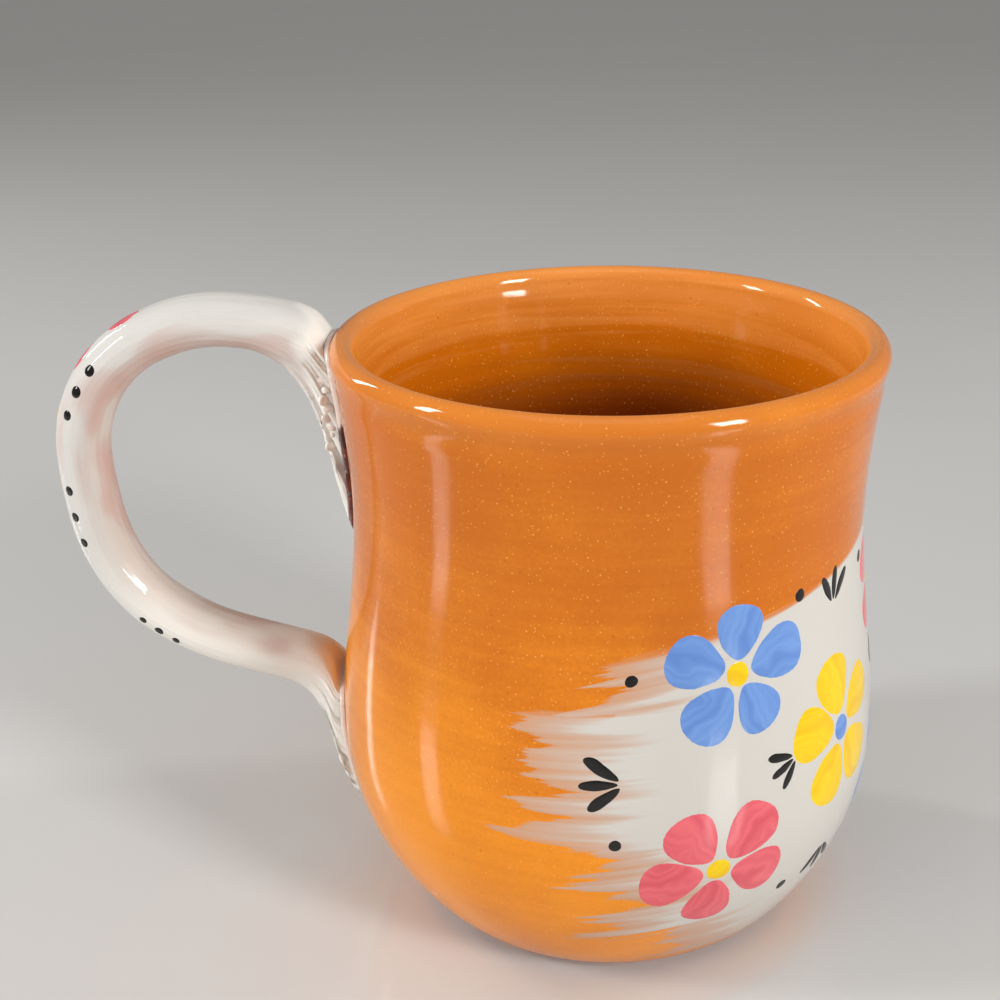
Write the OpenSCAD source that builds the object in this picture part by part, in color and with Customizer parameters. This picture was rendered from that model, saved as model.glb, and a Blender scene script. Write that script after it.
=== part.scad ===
// Wheel-thrown clay mug with a pulled loop handle
// The origin is the centre of the foot on the table, +Z is up and the handle points along -X.

/* [Thrown body] */
// Height from the table to the top of the lip
body_h = 107; // [98:0.5:118]
// Outside diameter at the lip
lip_d = 95; // [88:0.5:104]
// Outside diameter at the waist
waist_d = 89.6; // [84:0.2:96]
// Height of the waist above the table
waist_z = 77.5; // [70:0.5:84]
// Outside diameter at the belly
belly_d = 96.5; // [90:0.5:106]
// Height of the belly above the table
belly_z = 35.5; // [30:0.5:40]
// Diameter at which the lower belly would meet the table
base_d = 63; // [54:0.5:72]
// How late the neck flares out towards the lip, 1 being a straight cone
flare_power = 1.8; // [1.2:0.1:2.6]

/* [Wall and floor] */
// Wall thickness at the lip
lip_wall = 4.6; // [3.6:0.1:6]
// Wall thickness at the belly
belly_wall = 5.6; // [4.4:0.1:7]
// Height of the rounding on top of the lip
lip_round = 2.6; // [1.6:0.1:3.6]
// Thickness of the floor above the table plane
floor_h = 8; // [6.5:0.1:10]
// Dip of the inside floor towards its middle
floor_dip = 0.8; // [0:0.1:1.5]

/* [Foot] */
// Outside diameter of the turned foot ring
foot_d = 61; // [52:0.5:66]
// Width of the foot ring that stands on the table
foot_w = 6; // [4:0.5:9]
// Height of the foot ring
foot_h = 2.8; // [2:0.1:4]
// Depth of the recess turned inside the foot ring
recess_h = 2.2; // [1.4:0.1:3]
// Rounding on the foot ring's edges
foot_round = 0.8; // [0.3:0.1:1]

/* [Handle] */
// How far the middle of the strap stands out past the lip
loop_out = 47; // [40:0.5:56]
// Distance of the upper joint's middle below the top of the lip
upper_join_drop = 7.5; // [6:0.5:12]
// Height of the lower joint's middle above the table
lower_join_z = 37.5; // [35:0.5:46]
// Thickness of the strap in the plane of the loop
strap_t = 9.6; // [7:0.1:12]
// Width of the strap across the loop
strap_w = 12; // [9:0.1:16]

/* [Upper joint] */
// Half width of the flared upper end where it is pressed on the wall
upper_pad_w = 6.8; // [6:0.2:10]
// Distance of the upper end's edge below the top of the lip, on the side of its rounding
upper_pad_drop = 0.9; // [0.8:0.1:2.5]
// Length of the tail smeared down the wall below its middle
upper_tail = 29.5; // [16:0.5:36]

/* [Lower joint] */
// Half width of the flared lower end where it is pressed on the wall
lower_pad_w = 8.5; // [6.5:0.5:12]
// Height of the lower end above its middle
lower_pad_up = 2.6; // [2:0.1:6]
// Length of the tail smeared down the wall below its middle
lower_tail = 25; // [12:0.5:26]

/* [Luting] */
// Thickness of the clay slip between handle and wall
luting_t = 0.9; // [0.6:0.05:1.5]
// How far the luting is squeezed out past the handle's edge
luting_spread = 1.2; // [0.6:0.1:2.5]
// Thickness left at the luting's feathered edge
luting_edge = 0.25; // [0.15:0.05:0.4]
// Clearance kept between luting and its neighbours
fit = 0.08; // [0.06:0.01:0.15]

/* [Hidden] */

// Colours
clay_colour = [0.80, 0.47, 0.20];
slip_colour = [0.90, 0.86, 0.82];
luting_colour = [0.45, 0.20, 0.12];

// Fineness of the curves
$fn = 96;
arc_steps = 18;
lip_steps = 10;
foot_steps = 4;
strap_sides = 28;
strap_steps = 15;
flare_steps = 12;
pad_rings = 7;

// Loop of the handle: shares of its reach past the wall and of the height between its joints
upper_loop_shares = [[0, 1], [0.31, 1.275], [1.0, 1.127], [1, 0.726]];
lower_loop_shares = [[1, 0.726], [1, 0.125], [0.42, 0.15], [0, 0.05]];
// Parts of the upper and the lower curve at which the plain strap gives way to its flared ends
upper_end_share = 0.3;
lower_end_share = 0.84;
// Flare of an end: how far it runs on straight, then at the head and at the tail of the upper and the
// lower end how thick its edge stays, and how far the edge is tucked in towards the strap
lead_share = 0.95;
upper_edge_shares = [0.14, 0.27];
lower_edge_shares = [0.14, 0.46];
upper_tuck_shares = [0.6, 0.4];
lower_tuck_shares = [0.15, 0.1];
// How round the pressed-on ends are, 1 being an oval and less being broader
pad_power = 0.65;
// Width lost by the upper and the lower tail at the tip
upper_taper_share = 0.2;
lower_taper_share = 0.1;
// Part of the luting's spread that shows above the upper end, next to the lip, and above the lower end
upper_spread_share = 0.2;
lower_spread_share = 1;

lip_r = lip_d / 2;
waist_r = waist_d / 2;
belly_r = belly_d / 2;
base_r = base_d / 2;
foot_r = foot_d / 2;
// Radius of the lower belly, an arc that stands upright at the belly's height
belly_round = (pow(belly_z, 2) + pow(belly_r - base_r, 2)) / (2 * (belly_r - base_r));
belly_centre = belly_r - belly_round;
upper_join_z = body_h - upper_join_drop;
join_h = upper_join_z - lower_join_z;
lip_z = body_h - lip_round;
far_r = lip_r + loop_out;
// Distance of the pressed-on ends off the wall: the luting and a clearance on each side of it
seat = luting_t + 2 * fit;

// Outside radius of the body at a height
function belly_arc(z) = belly_centre + sqrt(pow(belly_round, 2) - pow(belly_z - z, 2));
function shoulder(z) =
    waist_r + (belly_r - waist_r) * (1 + cos(180 * (z - belly_z) / (waist_z - belly_z))) / 2;
function neck(z) = waist_r + (lip_r - waist_r) * pow((z - waist_z) / (lip_z - waist_z), flare_power);
function lip_side(z) = lip_r - lip_wall / 2 * (1 - sqrt(1 - pow((z - lip_z) / lip_round, 2)));
function outer_r(z) =
    z < belly_z ? belly_arc(z) : z < waist_z ? shoulder(z) : z < lip_z ? neck(z) : lip_side(z);

// Inside radius of the body at a height: the wall thins from the belly to the lip
inner_round = belly_round - belly_wall;
function inner_arc(z) = belly_centre + sqrt(pow(inner_round, 2) - pow(belly_z - z, 2));
function wall_at(z) = belly_wall + (lip_wall - belly_wall) * (z - belly_z) / (lip_z - belly_z);
function inner_r(z) = z < belly_z ? inner_arc(z) : outer_r(z) - wall_at(z);

// Heights shared out evenly between two levels
function levels(low, high, steps) = [for (i = [0 : steps]) low + (high - low) * i / steps];

// Heights along the wall from a lowest level to the start of the lip
function wall_levels(low) = concat(
    levels(low, belly_z, arc_steps),
    [for (i = [1 : arc_steps]) belly_z + (waist_z - belly_z) * i / arc_steps],
    [for (i = [1 : arc_steps]) waist_z + (lip_z - waist_z) * i / arc_steps]);

// Half section of the body, up the outside, over the lip and down the inside
function lip_points() =
    [for (i = [1 : lip_steps - 1])
        let (a = 180 * i / lip_steps)
        [lip_r - lip_wall / 2 + lip_wall / 2 * cos(a), lip_z + lip_round * sin(a)]];
function floor_points() =
    let (rim = inner_r(floor_h))
    [for (i = [1 : arc_steps])
        let (share = 1 - i / arc_steps)
        [rim * share, floor_h - floor_dip * (1 - pow(share, 2))]];
function reversed(list) = [for (i = [len(list) - 1 : -1 : 0]) list[i]];

// Rounded corner of the foot ring, swept between two angles about its own middle
function foot_corner(r, from) =
    [for (i = [0 : foot_steps])
        let (a = from + 90 * i / foot_steps)
        [r + foot_round * cos(a), foot_round + foot_round * sin(a)]];

function foot_points() = concat(
    [[0, recess_h], [foot_r - foot_w, recess_h]],
    foot_corner(foot_r - foot_w + foot_round, 180),
    foot_corner(foot_r - foot_round, 270),
    [[foot_r, foot_h]]);

module body() {
    outside = [for (z = wall_levels(foot_h)) [outer_r(z), z]];
    inside = [for (z = reversed(wall_levels(floor_h))) [inner_r(z), z]];
    color(clay_colour)
        rotate_extrude()
            polygon(concat(foot_points(), outside, lip_points(), inside, floor_points()));
}

// Point beside a wall of a given radius: distance round it from the handle's plane, height, distance off it
function beside(r, round_y, z, off) =
    let (a = round_y / r * 180 / PI)
    [-(r + off) * cos(a), (r + off) * sin(a), z];
// The same on the body's own face, and on its side carried straight up past the lip
function on_wall(round_y, z, off) = beside(outer_r(z), round_y, z, off);
function on_side(round_y, z, off) = beside(outer_r(min(z, lip_z)), round_y, z, off);

// Third-order curve through shares of the way from start to end
function curve(p, t) =
    pow(1 - t, 3) * p[0] + 3 * pow(1 - t, 2) * t * p[1] + 3 * (1 - t) * pow(t, 2) * p[2] + pow(t, 3) * p[3];
function curve_way(p, t) =
    pow(1 - t, 2) * (p[1] - p[0]) + 2 * (1 - t) * t * (p[2] - p[1]) + pow(t, 2) * (p[3] - p[2]);
function unit(v) = v / norm(v);

// Loop of the handle in its own plane, as distances from the axis and heights
function loop_points(shares, wall_r) =
    [for (s = shares) [wall_r + (far_r - wall_r) * s[0], lower_join_z + join_h * s[1]]];
upper_loop = loop_points(upper_loop_shares, outer_r(upper_join_z));
lower_loop = loop_points(lower_loop_shares, outer_r(lower_join_z));

// Oval cross-section of the strap at a place on a loop, its first point on the outside of the loop
function strap_ring(loop, t) =
    let (c = curve(loop, t), way = unit(curve_way(loop, t)), out = [-way[1], way[0]])
    [for (i = [0 : strap_sides - 1])
        let (a = 360 * i / strap_sides, p = c + out * strap_t / 2 * cos(a))
        [-p[0], strap_w / 2 * sin(a), p[1]]];

// Pressed-on ends: height of the middle, half width, height above it, tail below it, which side starts
// the ring (1 the head, -1 the tail), the shares lost at the tip and shown above, and the shares for the
// thickness and the tuck of the edge
upper_pad = [
    upper_join_z, upper_pad_w, upper_join_drop - upper_pad_drop, upper_tail, 1,
    upper_taper_share, upper_spread_share, upper_edge_shares, upper_tuck_shares];
lower_pad = [
    lower_join_z, lower_pad_w, lower_pad_up, lower_tail, -1,
    lower_taper_share, lower_spread_share, lower_edge_shares, lower_tuck_shares];
function mid_z(pad) = pad[0];
function half_w(pad) = pad[1];
function head_h(pad) = pad[2];
function tail_h(pad) = pad[3];
function first_side(pad) = pad[4];
function taper_share(pad) = pad[5];
function spread_share(pad) = pad[6];
function edge_shares(pad) = pad[7];
function tuck_shares(pad) = pad[8];
// Share at an angle round an end, from one at its head to one at its tail
function share_at(shares, pad, a) =
    shares[1] + (shares[0] - shares[1]) * (1 + cos(a) * first_side(pad)) / 2;

// Outline of a pressed-on end, as [distance round the wall, height], at an angle round its middle
function pad_point(pad, a, grow) =
    let (
        rise = cos(a) * first_side(pad),
        reach = rise > 0 ? head_h(pad) + grow * spread_share(pad) : tail_h(pad) + grow,
        taper = 1 - (rise > 0 ? 0 : taper_share(pad) * pow(rise, 2)),
        across = sign(sin(a)) * pow(abs(sin(a)), pad_power))
    [(half_w(pad) + grow) * taper * across, mid_z(pad) + reach * rise];

// Ring on the wall at a share of the way from the middle of a pressed-on end to its outline
function pad_ring(pad, share, off, grow) =
    [for (i = [0 : strap_sides - 1])
        let (p = pad_point(pad, 360 * i / strap_sides, grow))
        on_wall(p[0] * share, mid_z(pad) + (p[1] - mid_z(pad)) * share, off)];

// How far a point stands off the body's side at its own height
function stand_off(p) = norm([p[0], p[1]]) - outer_r(min(p[2], lip_z));

// Rings that flare from the strap's last plain ring, running on along its way, to the outline on the wall
function flare_rings(ring, way, pad) =
    [for (k = [1 : flare_steps])
        [for (i = [0 : strap_sides - 1])
            let (
                from = ring[i],
                gap = stand_off(from),
                a = 360 * i / strap_sides,
                p = pad_point(pad, a, 0),
                ahead = [from[1], from[2] + way[2] * gap],
                tucked = p + (ahead - p) * share_at(tuck_shares(pad), pad, a),
                thick = (gap - seat) * share_at(edge_shares(pad), pad, a),
                lead = from + way * (gap - seat) * lead_share,
                edge = on_side(tucked[0], tucked[1], seat + thick))
            curve([from, lead, edge, on_wall(p[0], p[1], seat)], k / flare_steps)]];

// Rings that close an end on the wall, from inside its outline to its middle
function cap_rings(pad) =
    [for (k = [pad_rings - 1 : -1 : 1]) pad_ring(pad, k / pad_rings, seat, 0)];

// Way along the strap towards the wall, in space
function space_way(way) = [-way[0], 0, way[1]];

// Triangles of a tube of rings with a point at each end
function tube_faces(rings, sides) =
    let (last = rings * sides)
    concat(
        [for (k = [0 : rings - 2], i = [0 : sides - 1])
            let (j = (i + 1) % sides)
            each [[k * sides + i, (k + 1) * sides + i, k * sides + j],
                  [k * sides + j, (k + 1) * sides + i, (k + 1) * sides + j]]],
        [for (i = [0 : sides - 1]) [last, i, (i + 1) % sides]],
        [for (i = [0 : sides - 1])
            [last + 1, (rings - 1) * sides + (i + 1) % sides, (rings - 1) * sides + i]]);

module tube(rings, ends) {
    points = concat([for (ring = rings) each ring], ends);
    polyhedron(points, tube_faces(len(rings), len(rings[0])));
}

module handle() {
    upper_ring = strap_ring(upper_loop, upper_end_share);
    lower_ring = strap_ring(lower_loop, lower_end_share);
    upper_way = -space_way(unit(curve_way(upper_loop, upper_end_share)));
    lower_way = space_way(unit(curve_way(lower_loop, lower_end_share)));
    upper_rings = [for (t = levels(upper_end_share, 1, strap_steps)) strap_ring(upper_loop, t)];
    lower_rings = [for (i = [1 : strap_steps]) strap_ring(lower_loop, lower_end_share * i / strap_steps)];
    color(slip_colour)
        tube(
            concat(
                reversed(cap_rings(upper_pad)),
                reversed(flare_rings(upper_ring, upper_way, upper_pad)),
                upper_rings,
                lower_rings,
                flare_rings(lower_ring, lower_way, lower_pad),
                cap_rings(lower_pad)),
            [on_wall(0, upper_join_z, seat), on_wall(0, lower_join_z, seat)]);
}

// Luting: a thin pad that follows the wall under a pressed-on end and feathers out past it. The rings of
// the lower end turn the other way round, so its pad is built from the front to the back.
module luting(pad) {
    full_share = (half_w(pad) + luting_spread / 2) / (half_w(pad) + luting_spread);
    back = [for (k = [1 : pad_rings]) pad_ring(pad, k / pad_rings, fit, luting_spread)];
    edge = pad_ring(pad, 1, fit + luting_edge, luting_spread);
    front = [for (k = [pad_rings : -1 : 1])
        pad_ring(pad, full_share * k / pad_rings, fit + luting_t, luting_spread)];
    rings = concat(back, [edge], front);
    ends = [on_wall(0, mid_z(pad), fit), on_wall(0, mid_z(pad), fit + luting_t)];
    from_back = first_side(pad) > 0;
    color(luting_colour)
        tube(from_back ? rings : reversed(rings), from_back ? ends : reversed(ends));
}

module upper_luting() {
    luting(upper_pad);
}

module lower_luting() {
    luting(lower_pad);
}

body();
handle();
upper_luting();
lower_luting();
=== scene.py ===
"""Looks of a wheel-thrown clay mug with a pulled loop handle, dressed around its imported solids."""

import logging
import math
from collections.abc import Mapping, Sequence
from dataclasses import dataclass, field
from enum import Enum

import bpy
import numpy as np
from mathutils import Matrix, Vector, noise


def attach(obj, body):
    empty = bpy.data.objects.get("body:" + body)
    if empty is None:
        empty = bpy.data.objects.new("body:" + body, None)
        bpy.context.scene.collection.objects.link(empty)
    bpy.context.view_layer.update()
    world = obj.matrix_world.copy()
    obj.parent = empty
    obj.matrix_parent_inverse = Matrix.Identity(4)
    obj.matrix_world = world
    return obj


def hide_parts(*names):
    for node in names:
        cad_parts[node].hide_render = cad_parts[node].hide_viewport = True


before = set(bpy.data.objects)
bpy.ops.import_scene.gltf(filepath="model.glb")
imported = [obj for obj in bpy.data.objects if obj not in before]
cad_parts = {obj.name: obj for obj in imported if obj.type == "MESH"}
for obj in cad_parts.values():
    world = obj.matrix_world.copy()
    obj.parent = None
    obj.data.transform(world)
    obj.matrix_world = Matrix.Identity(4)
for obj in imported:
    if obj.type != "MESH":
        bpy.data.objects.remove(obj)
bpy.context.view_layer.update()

LOG = logging.getLogger("clay_mug")
MM = 0.001
ROOT = "root"

Colour = tuple[float, float, float, float]
Pair = tuple[float, float]


def srgb(red: float, green: float, blue: float) -> Colour:
    """Linear opaque colour of one given in screen values from 0 to 255."""
    def linear(value: float) -> float:
        """Linear strength of one screen value."""
        share = value / 255
        return share / 12.92 if share <= 0.04045 else ((share + 0.055) / 1.055) ** 2.4
    return linear(red), linear(green), linear(blue), 1.0


# Node trees

class Signal:
    """A value inside a node tree that is reckoned with like a number."""

    def __init__(self, tree: "Tree", socket: bpy.types.NodeSocket) -> None:
        """Keeps the tree and the socket that gives the value."""
        self.tree = tree
        self.socket = socket

    def __add__(self, other: "Value") -> "Signal":
        """Sum with another value."""
        return self.tree.math("ADD", self, other)

    def __sub__(self, other: "Value") -> "Signal":
        """Difference from another value."""
        return self.tree.math("SUBTRACT", self, other)

    def __rsub__(self, other: "Value") -> "Signal":
        """What is left of another value."""
        return self.tree.math("SUBTRACT", other, self)

    def __mul__(self, other: "Value") -> "Signal":
        """Product with another value."""
        return self.tree.math("MULTIPLY", self, other)

    def __truediv__(self, other: "Value") -> "Signal":
        """Quotient by another value."""
        return self.tree.math("DIVIDE", self, other)

    __rmul__ = __mul__


Value = Signal | float


class Tree:
    """A node tree under construction."""

    def __init__(self, owner: bpy.types.NodeTree) -> None:
        """Keeps the tree that the nodes go into."""
        self.owner = owner

    def add(self, kind: str, inputs: Mapping[str | int, object] | None = None,
            **settings: object) -> bpy.types.Node:
        """Adds a node.

        Args:
            kind: The node's type name.
            inputs: Values or signals by the name or number of the input.
            **settings: Properties of the node itself.

        Returns:
            The node.
        """
        node = self.owner.nodes.new(kind)
        for name, value in settings.items():
            setattr(node, name, value)
        for key, value in (inputs or {}).items():
            self.feed(node.inputs[key], value)
        return node

    def feed(self, socket: bpy.types.NodeSocket, value: object) -> None:
        """Links a signal or a socket to an input, or sets the input to a plain value."""
        if isinstance(value, Signal):
            value = value.socket
        if isinstance(value, bpy.types.NodeSocket):
            self.owner.links.new(value, socket)
        else:
            socket.default_value = value

    def signal(self, kind: str, inputs: Mapping[str | int, object] | None = None,
               output: str | int = 0, **settings: object) -> Signal:
        """One output of a new node, as a signal."""
        return Signal(self, self.add(kind, inputs, **settings).outputs[output])

    def math(self, operation: str, *values: Value) -> Signal:
        """Result of a sum, product or other function of plain values."""
        return self.signal("ShaderNodeMath", dict(enumerate(values)), operation=operation)

    def smooth(self, value: Value, low: float, high: float,
               start: float = 0.0, end: float = 1.0) -> Signal:
        """Eased step of a value.

        Args:
            value: The value that is stepped.
            low: Where the step starts.
            high: Where the step ends.
            start: Result below the step.
            end: Result above the step.

        Returns:
            The stepped value.
        """
        inputs = {0: value, 1: low, 2: high, 3: start, 4: end}
        return self.signal("ShaderNodeMapRange", inputs, interpolation_type="SMOOTHSTEP")

    def vector(self, x: Value, y: Value, z: Value) -> Signal:
        """Vector of three values."""
        return self.signal("ShaderNodeCombineXYZ", {0: x, 1: y, 2: z})

    def split(self, vector: Signal) -> tuple[Signal, Signal, Signal]:
        """Three values of a vector."""
        node = self.add("ShaderNodeSeparateXYZ", {0: vector})
        return tuple(Signal(self, output) for output in node.outputs)

    def stretch(self, vector: Signal, x: float, y: float, z: float) -> Signal:
        """Vector with each of its values multiplied."""
        return self.signal("ShaderNodeVectorMath", {0: vector, 1: (x, y, z)}, operation="MULTIPLY")

    def scaled(self, vector: Signal, factor: Value) -> Signal:
        """Vector with all its values multiplied by one factor."""
        inputs = {0: vector, "Scale": factor}
        return self.signal("ShaderNodeVectorMath", inputs, operation="SCALE")

    def noise(self, vector: Signal, scale: float = 1.0, detail: float = 2.0) -> Signal:
        """Cloudy noise, about one half on the average."""
        inputs = {"Vector": vector, "Scale": scale, "Detail": detail}
        return self.signal("ShaderNodeTexNoise", inputs)

    def mix(self, share: Value, first: object, second: object) -> Signal:
        """Colour between two others."""
        inputs = {0: share, 6: first, 7: second}
        return self.signal("ShaderNodeMix", inputs, output=2, data_type="RGBA")

    def carried(self, name: str, output: str = "Fac") -> Signal:
        """Values that a piece carries under a name, read by its material."""
        return self.signal("ShaderNodeAttribute", output=output, attribute_name=name)


class GeometryTree(Tree):
    """A geometry node tree with named inputs that works on one source object."""

    def __init__(self, name: str) -> None:
        """Makes an empty tree that takes and gives a geometry."""
        super().__init__(bpy.data.node_groups.new(name, "GeometryNodeTree"))
        self.identifiers: dict[str, str] = {}
        self.entry = self.add("NodeGroupInput")
        self.exit = self.add("NodeGroupOutput")
        face = self.owner.interface
        face.new_socket("Geometry", in_out="OUTPUT", socket_type="NodeSocketGeometry")
        self.source = self.input("Geometry", "Geometry")

    def input(self, name: str, kind: str) -> Signal:
        """Adds a named input of a kind such as Float, Int, Object or Material."""
        item = self.owner.interface.new_socket(
            name, in_out="INPUT", socket_type="NodeSocket" + kind)
        self.identifiers[name] = item.identifier
        return Signal(self, self.entry.outputs[name])

    def inputs(self, kind: str, *names: str) -> list[Signal]:
        """Adds named inputs that are all of one kind."""
        return [self.input(name, kind) for name in names]

    def attribute(self, name: str, kind: str = "FLOAT") -> Signal:
        """Values stored on the source under a name."""
        return self.signal("GeometryNodeInputNamedAttribute", {"Name": name}, data_type=kind)

    def position(self) -> Signal:
        """Place of each point."""
        return self.signal("GeometryNodeInputPosition")

    def normal(self) -> Signal:
        """Way that the surface faces at each point."""
        return self.signal("GeometryNodeInputNormal")

    def shape(self, piece: Signal) -> Signal:
        """Geometry of an object."""
        return self.signal("GeometryNodeObjectInfo", {0: piece}, output="Geometry")

    def random(self, limits: Pair, seed: Value) -> Signal:
        """Random value between two limits, for each point or instance."""
        inputs = {2: limits[0], 3: limits[1], "Seed": seed}
        return self.signal("FunctionNodeRandomValue", inputs, output=1, data_type="FLOAT")

    def spun(self, angle: Signal) -> Signal:
        """Turn by an angle about the third axis."""
        return self.signal("FunctionNodeEulerToRotation", {0: self.vector(0.0, 0.0, angle)})

    def copies(self, points: Signal, shape: Signal, turn: Signal, scale: Signal) -> Signal:
        """Instances of a shape on points, turned and scaled."""
        return self.signal("GeometryNodeInstanceOnPoints", {
            "Points": points, "Instance": shape, "Rotation": turn, "Scale": scale})

    def real(self, geometry: Signal) -> Signal:
        """Geometry with its instances made real."""
        return self.signal("GeometryNodeRealizeInstances", {"Geometry": geometry})

    def nearest(self, mesh: Signal, value: Signal) -> Signal:
        """Vector of a mesh at the place on it that is nearest to each point."""
        inputs = {"Mesh": mesh, "Value": value}
        return self.signal("GeometryNodeSampleNearestSurface", inputs, data_type="FLOAT_VECTOR")

    def placed(self, geometry: Signal, position: Signal | None = None,
               offset: Signal | None = None) -> Signal:
        """Geometry with its points set to a position, or moved by an offset."""
        given = {"Geometry": geometry, "Position": position, "Offset": offset}
        inputs = {name: value for name, value in given.items() if value}
        return self.signal("GeometryNodeSetPosition", inputs)

    def kept(self, geometry: Signal, name: str, value: Signal, kind: str = "FLOAT") -> Signal:
        """Geometry that keeps a value for each of its points under a name."""
        inputs = {"Geometry": geometry, "Name": name, "Value": value}
        return self.signal("GeometryNodeStoreNamedAttribute", inputs, data_type=kind)

    def laid(self, geometry: Signal, surface: Signal) -> Signal:
        """Geometry laid on the nearest place of a surface, each point off it by its lift."""
        base = self.shape(surface)
        spot = self.nearest(base, self.position())
        normal = self.nearest(base, self.normal())
        return self.placed(geometry, spot, self.scaled(normal, self.attribute("lift")))

    def ending(self, geometry: Signal, material: Signal) -> Signal:
        """Realized, smoothly shaded geometry in one material, given out by the tree."""
        shaded = self.signal("GeometryNodeSetShadeSmooth", {0: self.real(geometry)})
        dressed = self.signal("GeometryNodeSetMaterial", {"Geometry": shaded, "Material": material})
        self.feed(self.exit.inputs[0], dressed)
        return dressed

    def settle(self, source: bpy.types.Object, values: Mapping[str, object]) -> bpy.types.Object:
        """Runs the tree on a source object and keeps the result as its plain mesh.

        Args:
            source: Object whose mesh goes into the tree.
            values: Values by name, those of the tree's inputs among them.

        Returns:
            The source object, with the finished mesh and no modifier.
        """
        modifier = source.modifiers.new(self.owner.name, "NODES")
        modifier.node_group = self.owner
        for name, identifier in self.identifiers.items():
            if name in values:
                modifier[identifier] = values[name]
        depsgraph = bpy.context.evaluated_depsgraph_get()
        mesh = bpy.data.meshes.new_from_object(
            source.evaluated_get(depsgraph), preserve_all_data_layers=True, depsgraph=depsgraph)
        source.modifiers.remove(modifier)
        source.data = mesh
        mesh.name = source.name
        if mesh.materials[0] is None:
            mesh.materials.pop(index=0)
        return source


def linked(name: str, data: bpy.types.ID) -> bpy.types.Object:
    """Object that holds some data, at the origin and linked to the scene."""
    piece = bpy.data.objects.new(name, data)
    bpy.context.scene.collection.objects.link(piece)
    return piece


def new_object(name: str, points: Sequence, edges: Sequence = (),
               faces: Sequence = ()) -> bpy.types.Object:
    """Mesh object at the origin.

    Args:
        name: Name of the object and its mesh.
        points: Corner points.
        edges: Pairs of point numbers.
        faces: Lists of point numbers.

    Returns:
        The object, linked to the scene.
    """
    mesh = bpy.data.meshes.new(name)
    mesh.from_pydata([tuple(p) for p in points], list(edges), list(faces))
    mesh.update()
    return linked(name, mesh)


def polyline(name: str, points: Sequence) -> bpy.types.Object:
    """Open line of edges through points, as a mesh object."""
    return new_object(name, points, edges=[(i, i + 1) for i in range(len(points) - 1)])


def store(piece: bpy.types.Object, name: str, values: np.ndarray) -> None:
    """Stores one number or vector for each point of a mesh under a name."""
    vectors = np.ndim(values) == 2
    layer = piece.data.attributes.new(name, "FLOAT_VECTOR" if vectors else "FLOAT", "POINT")
    layer.data.foreach_set("vector" if vectors else "value", np.ravel(values).astype(np.float32))


# Finishes

@dataclass(frozen=True)
class Finish:
    """A surface finish that is made once as a node material."""

    name: str
    roughness: float = 0.45
    specular: float = 0.0
    coat: float = 1.0
    coat_ior: float = 1.4
    coat_roughness: float = 0.08
    bump_depth: float = 0.1 * MM

    def material(self) -> bpy.types.Material:
        """The node material of this finish."""
        made = bpy.data.materials.get(self.name)
        if made is None:
            made = bpy.data.materials.new(self.name)
            made.use_nodes = True
            shader = made.node_tree.nodes["Principled BSDF"]
            for name, value in {
                    "Roughness": self.roughness, "Specular IOR Level": self.specular,
                    "Coat Weight": self.coat, "Coat IOR": self.coat_ior,
                    "Coat Roughness": self.coat_roughness}.items():
                shader.inputs[name].default_value = value
            self.paint(Tree(made.node_tree), shader)
        return made

    def paint(self, tree: Tree, shader: bpy.types.Node) -> None:
        """Adds the nodes that colour and roughen the surface."""
        raise NotImplementedError

    def place(self, tree: Tree) -> Signal:
        """Position on the piece, in metres."""
        return tree.signal("ShaderNodeTexCoord", output="Object")

    def bump(self, tree: Tree, shader: bpy.types.Node, height: Signal) -> None:
        """Raises the surface a little where a height is large."""
        inputs = {"Height": height, "Strength": 1.0, "Distance": self.bump_depth}
        tree.feed(shader.inputs["Normal"], tree.signal("ShaderNodeBump", inputs))


@dataclass(frozen=True)
class Speckle:
    """Round specks of one kind strewn over a surface, sized in cells of a random pattern."""

    colour: Colour
    cells_per_m: float
    radius: float
    share: float
    strength: float
    fade: Pair = (0.4, 1.1)

    def cover(self, tree: Tree, place: Signal) -> Signal:
        """How far the specks cover the surface at a place."""
        cells = tree.add("ShaderNodeTexVoronoi", {"Vector": place, "Scale": self.cells_per_m})
        chance, distance = (Signal(tree, cells.outputs[name]) for name in ("Color", "Distance"))
        spot = tree.smooth(distance, *(self.radius * share for share in self.fade), 1.0, 0.0)
        return spot * tree.math("LESS_THAN", tree.split(chance)[0], self.share) * self.strength


@dataclass(frozen=True)
class BrushStroke:
    """One pass of a broad brush round the wall, dry at both ends."""

    height: float
    half_width: float
    start: float
    end: float
    tilt: float
    bend: float
    seed: float


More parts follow.
